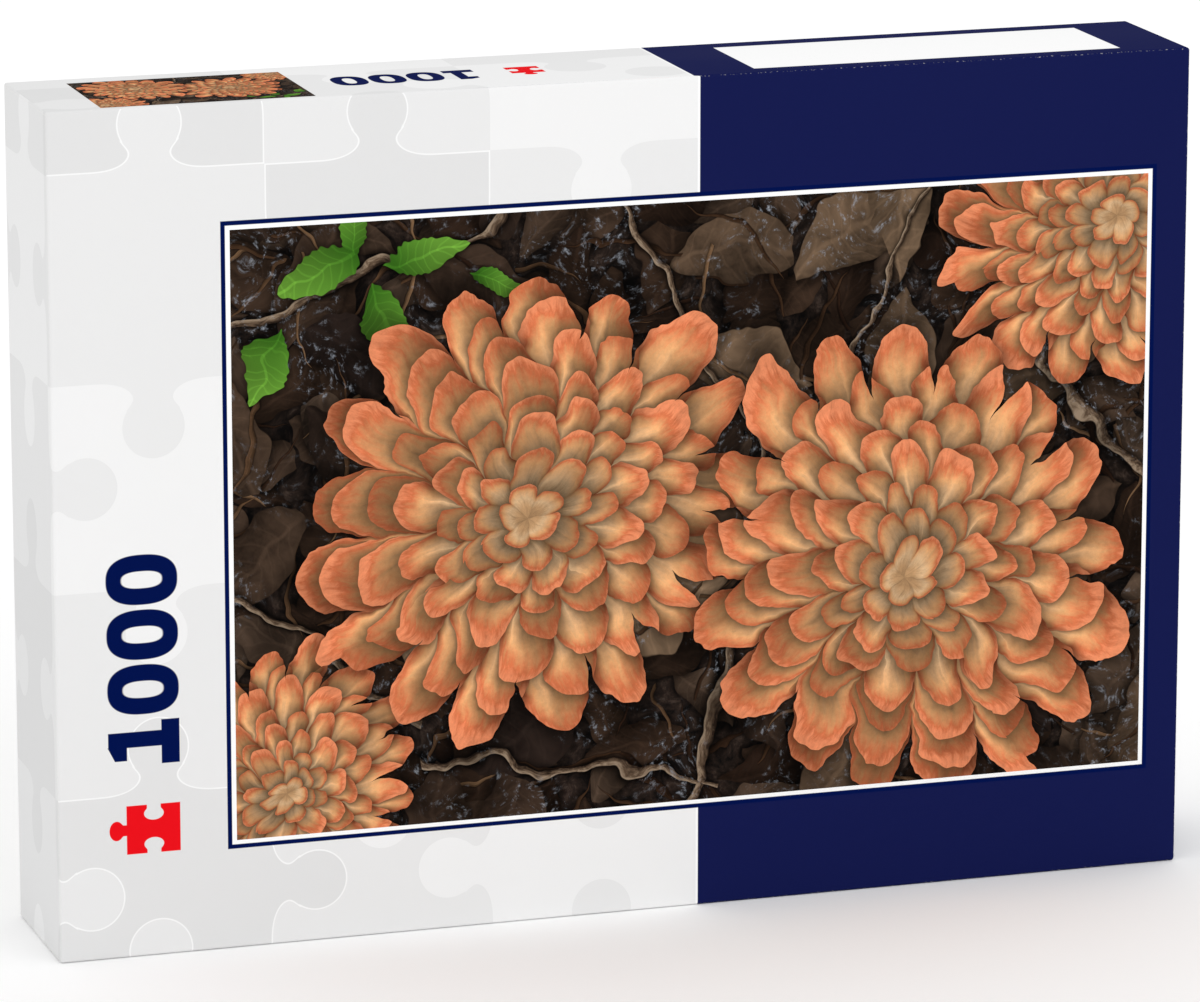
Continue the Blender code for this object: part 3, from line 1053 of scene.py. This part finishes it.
cells = [(column, row) for column in range(ALONG) for row in range(UP)]
chance.shuffle(cells)
stacks = [(column, row) for column, rows in enumerate(STACK_ROWS) for row in range(rows)]
knob_right = {stack: chance.choice((-1, 1)) for stack in stacks}
knob_up = {stack: chance.choice((-1, 1)) for stack in stacks}
kinds = {}
loose = []
for number, (column, row) in enumerate(stacks):
    count = round(ALONG * UP * (number + 1) / len(stacks)) - round(ALONG * UP * number / len(stacks))
    below = -knob_up[column, row - 1] if row else 0
    above = knob_up[column, row] if (column, row + 1) in stacks else -1
    left = -knob_right.get((column - 1, row), 1)
    right = knob_right[column, row] if (column + 1, row) in stacks else -1
    sides = (below, right, above, left)
    if sides not in kinds:
        kinds[sides] = cut_piece(sides)
    middle_x = (column - (len(STACK_ROWS) - 1) / 2) * (PIECE_HIGH + KNOB_ROOM)
    middle_z = STACK_FOOT + row * (PIECE_WIDE + KNOB_ROOM)
    pitch = (STACK_BACK - STACK_FRONT) / count
    lean_x = chance.uniform(-LEAN, LEAN)
    lean_z = chance.uniform(-LEAN, LEAN)
    spin = chance.uniform(-SPIN, SPIN)
    for layer in range(count):
        piece = kinds[sides].copy()
        piece.data = kinds[sides].data.copy()
        bpy.context.collection.objects.link(piece)
        print_piece(piece, cells[len(loose)], chance.choice((-1, 1)), chance.choice((-1, 1)))
        swell = math.sin(math.pi * (layer + 0.5) / count)
        lean = Matrix.Rotation(lean_x * swell, 4, "X") @ Matrix.Rotation(lean_z * swell, 4, "Z")
        own_spin = spin + chance.uniform(-JITTER, JITTER)
        stand = Matrix.Rotation(own_spin, 4, "Y") @ Matrix.Rotation(math.pi / 2, 4, "X")
        place = (middle_x, STACK_FRONT + (layer + 0.5) * pitch, middle_z)
        piece.data.transform(Matrix.Translation(place) @ lean @ stand)
        loose.append(piece)
bpy.ops.object.select_all(action="DESELECT")
for piece in loose:
    piece.select_set(True)
bpy.context.view_layer.objects.active = loose[0]
bpy.ops.object.join()
loose_pieces = bpy.context.object
loose_pieces.name = loose_pieces.data.name = "loose_pieces"
for piece in kinds.values():
    bpy.data.objects.remove(piece)
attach(loose_pieces, "root")


# The bag: a tube of thin clear film round the pieces, welded along its back and crimped shut at both ends,
# with the seals folded up against it. It has slumped to the bottom of the standing box and is crumpled.
FILM = 0.0001
FILM_CELLS = (86, 12, 26)
CRUMPLE, CREASES = 0.0013, 28
BAG_MIDDLE = Vector((0.0, 0.0, 0.055))
BAG_PULL = Vector((0.15, 1.0, 0.6))
SEAL = (0.0004, 0.040, 0.012)
SEAL_IN, SEAL_LOW, SEAL_CUTS = 0.0005, 0.045, 31
CRIMP, CRIMP_STEP = 0.0002, 0.0015
BAG_ROOM = Vector((0.0008, 0.0004, 0.0004))
bag_film = new_block("bag_film", (-1, -1, -1), (1, 1, 1))
bpy.ops.object.mode_set(mode="EDIT")
for axis, cells in enumerate(FILM_CELLS):
    choose("EDGE", lambda edge, axis=axis: abs(edge.verts[0].co[axis] - edge.verts[1].co[axis]) > 1)
    bpy.ops.mesh.subdivide(number_cuts=cells - 1)
bpy.ops.object.mode_set(mode="OBJECT")
for vertex in bag_film.data.vertices:
    point = bag_form(*vertex.co, bag_low + BAG_ROOM, bag_high - BAG_ROOM)
    inward = (BAG_MIDDLE - point) * BAG_PULL
    fold = noise.turbulence(point * CREASES, 4, True, amplitude_scale=0.55, frequency_scale=2.1)
    vertex.co = point + inward.normalized() * CRUMPLE * min(fold, 1.0)
apply_modifier(bag_film, "SOLIDIFY", thickness=FILM, offset=-1.0, use_even_offset=True)
bpy.ops.object.shade_smooth()
seals = []
for way in (-1, 1):
    low = Vector((way * (bag_high.x - SEAL_IN) - SEAL[0] / 2, -SEAL[1] / 2, SEAL_LOW))
    seal = new_block("end_seal", low, low + Vector(SEAL))
    bpy.ops.object.mode_set(mode="EDIT")
    choose("EDGE", lambda edge: abs(edge.verts[0].co.z - edge.verts[1].co.z) > 0.001)
    bpy.ops.mesh.subdivide(number_cuts=SEAL_CUTS)
    bpy.ops.object.mode_set(mode="OBJECT")
    for vertex in seal.data.vertices:
        vertex.co.x += CRIMP * math.sin(vertex.co.z / CRIMP_STEP * math.pi)
    seals.append(seal)
bpy.ops.object.select_all(action="DESELECT")
for part in (*seals, bag_film):
    part.select_set(True)
bpy.context.view_layer.objects.active = bag_film
bpy.ops.object.join()

clear_film, shader, start = new_material("clear_film")
place = start.node("ShaderNodeTexCoord", out="Object")
x, y, z = parts_of(place)
broad, shift = grain(place, 18.0, 3.0, 0.55, out=(0, 1))
BEND = (0.03, 0.03, 0.03)
bent = shift.node("ShaderNodeVectorMath", {"operation": "MULTIPLY_ADD"}, {0: shift, 1: BEND, 2: place})
creased = bent.node(
    "ShaderNodeTexVoronoi", {"feature": "DISTANCE_TO_EDGE"}, {"Vector": bent, "Scale": 44.0}, out="Distance"
)
seam = between(abs(z - BAG_MIDDLE.z), 0.0060, 0.0055) * (y > 0.015)
end_seal = (abs(x) > 0.1725) * between(abs(z - (SEAL_LOW + SEAL[2] / 2)), 0.0066, 0.0060)
welded = high_of(seam, end_seal)
ribs = (z * 700).math("SINE") * welded
# Painted highlight: along the creases the film is made whiter and more opaque, where crumpled film catches
# the light.
crease_highlight = between(creased, 0.050, 0.0) * between(broad, 0.40, 0.60)
feed(shader, "Base Color", graded(crease_highlight, (0.0, (0.78, 0.82, 0.84)), (1.0, (0.94, 0.95, 0.96))))
feed(shader, "Alpha", 0.07 + 0.22 * crease_highlight + 0.12 * between(broad, 0.45, 0.75) + 0.20 * welded)
feed(shader, "Roughness", 0.10 + 0.15 * crease_highlight + 0.08 * broad)
feed_bump(shader, 0.15 * ribs + 2.0 * low_of(creased, 0.3) + 3.0 * broad, 0.8, 0.0008)
bag_film.data.materials.clear()
bag_film.data.materials.append(clear_film)
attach(bag_film, "root")
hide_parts("piece_bag")


# The studio: a pale floor, an even pale sky, and one wide soft lamp in front of the box, a little above it
# and to the right. The camera looks down at the box from its left.
FLOOR_SIZE, FLOOR_GAP = 14.0, 0.0001
LAMP_FROM = (0.35, -0.85, 0.38)
CAMERA_PLACE = (-0.6767, -2.1007, 0.6580)
CAMERA_DOWN, CAMERA_TURN = 13.49, -17.82
bpy.ops.object.select_all(action="DESELECT")
bpy.ops.mesh.primitive_plane_add(size=FLOOR_SIZE, location=(0.0, 0.0, 0.0))
floor = bpy.context.object
floor.name = "floor"
floor.data.transform(Matrix.Translation((0.0, 0.0, -FLOOR_GAP)))
floor_finish, shader, start = new_material("pale_floor")
place = start.node("ShaderNodeTexCoord", out="Object")
faint = grain(place, 3.0, 2.0, 0.5)
feed(shader, "Base Color", graded(faint, (0.3, (0.97, 0.97, 0.97)), (0.7, (0.98, 0.98, 0.98))))
shader.inputs["Roughness"].default_value = 0.9
shader.inputs["Specular IOR Level"].default_value = 0.0
floor.data.materials.append(floor_finish)

world = bpy.data.worlds.new("studio")
bpy.context.scene.world = world
world.use_nodes = True
sky = world.node_tree.nodes["Background"]
sky.inputs["Color"].default_value = (1.0, 1.0, 1.0, 1.0)
sky.inputs["Strength"].default_value = 1.0

lamp = bpy.data.lights.new("wide_lamp", "SUN")
lamp.energy = 0.55
lamp.angle = math.radians(60)
holder = bpy.data.objects.new("wide_lamp", lamp)
holder.rotation_euler = Vector(LAMP_FROM).to_track_quat("Z", "Y").to_euler()
bpy.context.collection.objects.link(holder)

camera_data = bpy.data.cameras.new("camera")
camera_data.lens = 213.0
camera_data.sensor_width = 36.0
camera = bpy.data.objects.new("camera", camera_data)
camera.location = CAMERA_PLACE
camera.rotation_euler = (math.radians(90.0 - CAMERA_DOWN), 0.0, math.radians(CAMERA_TURN))
bpy.context.collection.objects.link(camera)
bpy.context.scene.camera = camera
bpy.context.scene.view_settings.view_transform = "Standard"
